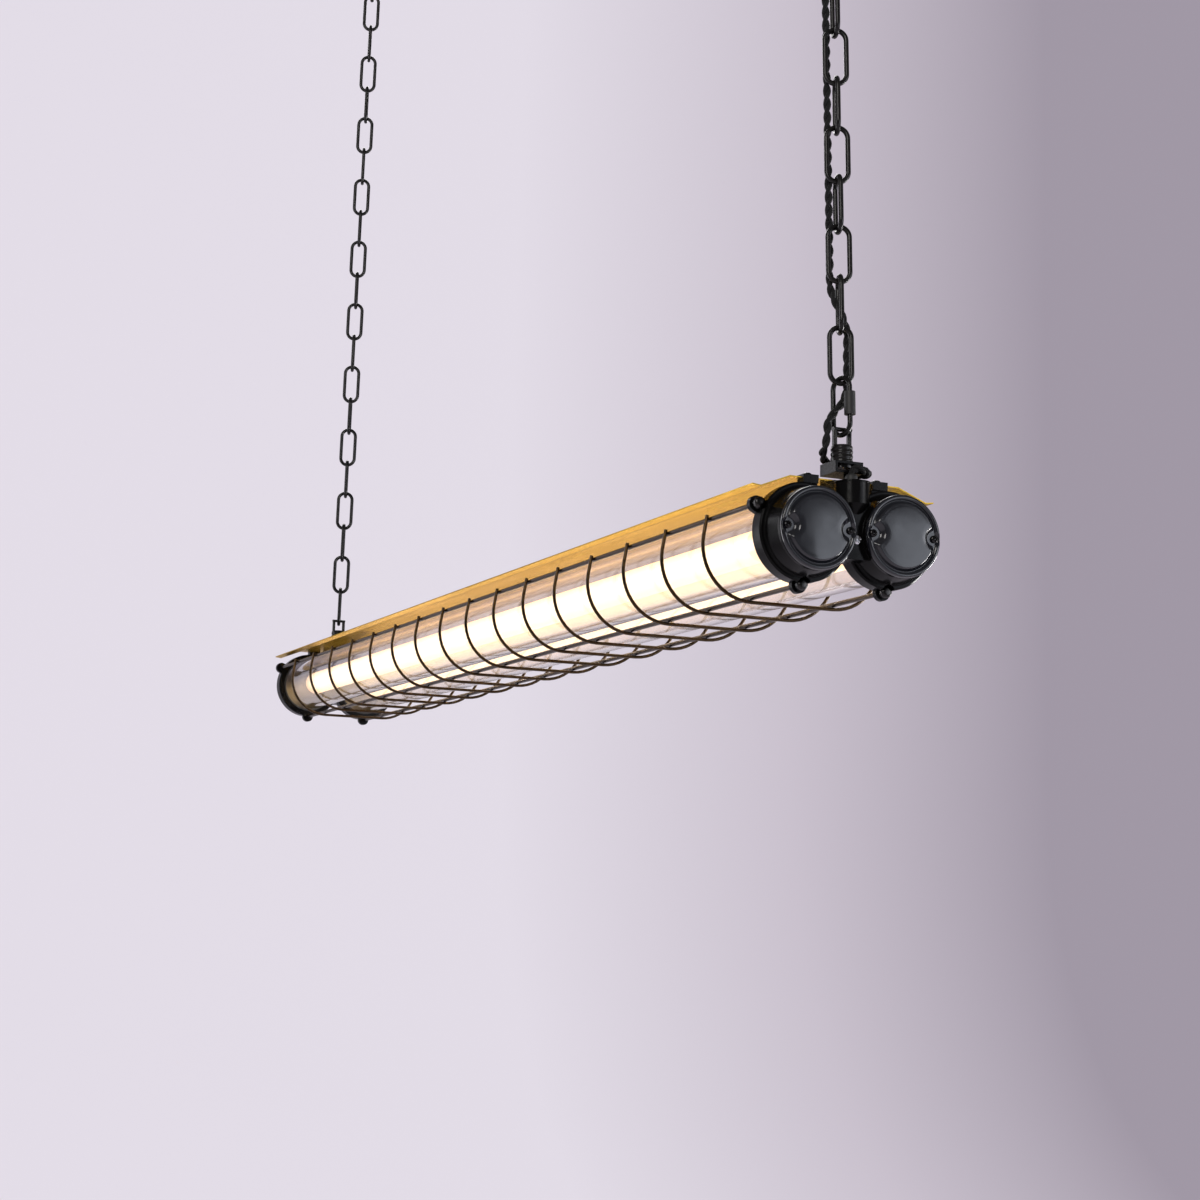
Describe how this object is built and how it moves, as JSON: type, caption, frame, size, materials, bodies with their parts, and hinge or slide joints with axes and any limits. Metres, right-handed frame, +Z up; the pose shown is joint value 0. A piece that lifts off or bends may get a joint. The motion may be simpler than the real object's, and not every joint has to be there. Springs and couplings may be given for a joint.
{
  "type": "glass tube pendant light",
  "caption": "Pendant light with two wire-caged glass tubes under a folded reflector, closed by cast end castings and hung from the ceiling on two link chains.",
  "frame": {"origin": "on the ceiling plane, midway between the two ceiling fittings", "axes": "+Z up towards the ceiling, +Y along the tubes from the cord end to the far end, +X to the right seen from the cord end"},
  "size_m": [0.161, 1.3472, 0.9937],
  "materials": {
    "black_enamel": "satin black enamel on sheet steel",
    "cast_enamel": "satin black enamel on cast aluminium, slightly pitted",
    "cover_enamel": "satin black enamel on pressed covers, a little greyer",
    "black_iron": "blackened wire and forged iron",
    "black_wire": "black lacquered wire",
    "blackened_screw": "blackened steel fasteners",
    "zinc_steel": "zinc-plated steel",
    "brass_screw": "yellow-plated screw",
    "clear_glass": "clear drawn glass",
    "lamp_glow": "lit warm white lamp",
    "lamp_cap": "pressed aluminium caps with pins",
    "white_plastic": "white moulded plastic",
    "black_rubber": "black rubber",
    "braided_cord": "black braided textile over two twisted cores",
    "reflector_sheet": "warm metallic lacquer on folded sheet"
  },
  "bodies": {
    "ceiling": {"canopy": "black_enamel", "canopy_bracket": "zinc_steel", "canopy_nut": "zinc_steel", "canopy_grommet": "black_rubber", "terminal_block": "white_plastic", "near_hook": "black_iron", "far_rose": "black_enamel", "far_hook": "black_iron", "cord_top": "braided_cord"},
    "near_first_link": {"near_top_link": "black_iron", "cord_link": "braided_cord"},
    "near_hanging_chain": {"near_chain": "black_iron", "cord_run": "braided_cord", "cord_sleeve": "black_rubber"},
    "far_first_link": {"far_top_link": "black_iron"},
    "far_hanging_chain": {"far_chain": "black_iron"},
    "lamp": {"cord_tail": "braided_cord", "boss_grommet": "black_rubber", "near_casting": "cast_enamel", "far_casting": "cast_enamel", "glass_seals": "black_rubber", "left_glass": "clear_glass", "right_glass": "clear_glass", "near_left_cover": "cover_enamel", "near_right_cover": "cover_enamel", "far_left_cover": "cover_enamel", "far_right_cover": "cover_enamel", "cover_gaskets": "black_rubber", "cover_screws": "blackened_screw", "web_screws": "zinc_steel", "left_lamp": "lamp_glow", "right_lamp": "lamp_glow", "lamp_caps": "lamp_cap", "near_lamp_holders": "white_plastic", "far_lamp_holders": "white_plastic", "cage_rods": "black_wire", "cage_hoops": "black_wire", "rod_nuts": "blackened_screw", "reflector": "reflector_sheet", "reflector_clips": "black_enamel", "clip_screws": "blackened_screw", "near_hanger_box": "black_enamel", "far_hanger_box": "black_enamel", "near_hanger_loop": "black_iron", "far_hanger_loop": "black_iron", "hanger_nuts": "blackened_screw", "box_screws": "brass_screw"}
  },
  "joints": [
    {"name": "near_sway", "type": "hinge", "parent": "ceiling", "child": "near_first_link", "pos_m": [0, -0.6, -0.056], "axis": [0, 1, 0], "range_deg": [-15, 15]},
    {"name": "near_swing", "type": "hinge", "parent": "near_first_link", "child": "near_hanging_chain", "pos_m": [0, -0.60194, -0.09615], "axis": [1, 0, 0], "range_deg": [-7, 7]},
    {"name": "lamp_level", "type": "hinge", "parent": "near_hanging_chain", "child": "lamp", "pos_m": [0, -0.639, -0.86446], "axis": [1, 0, 0], "range_deg": [-7, 7]},
    {"name": "far_sway", "type": "hinge", "parent": "ceiling", "child": "far_first_link", "pos_m": [0, 0.6, -0.056], "axis": [0, 1, 0], "range_deg": [-15, 15]},
    {"name": "far_swing", "type": "hinge", "parent": "far_first_link", "child": "far_hanging_chain", "pos_m": [0, 0.60194, -0.09615], "axis": [1, 0, 0], "range_deg": [-7, 7]}
  ],
  "couplings": [
    {"joint": "lamp_level", "follows": "near_swing", "ratio": -0.942},
    {"joint": "far_sway", "follows": "near_sway", "ratio": 1},
    {"joint": "far_swing", "follows": "near_swing", "ratio": 1}
  ]
}
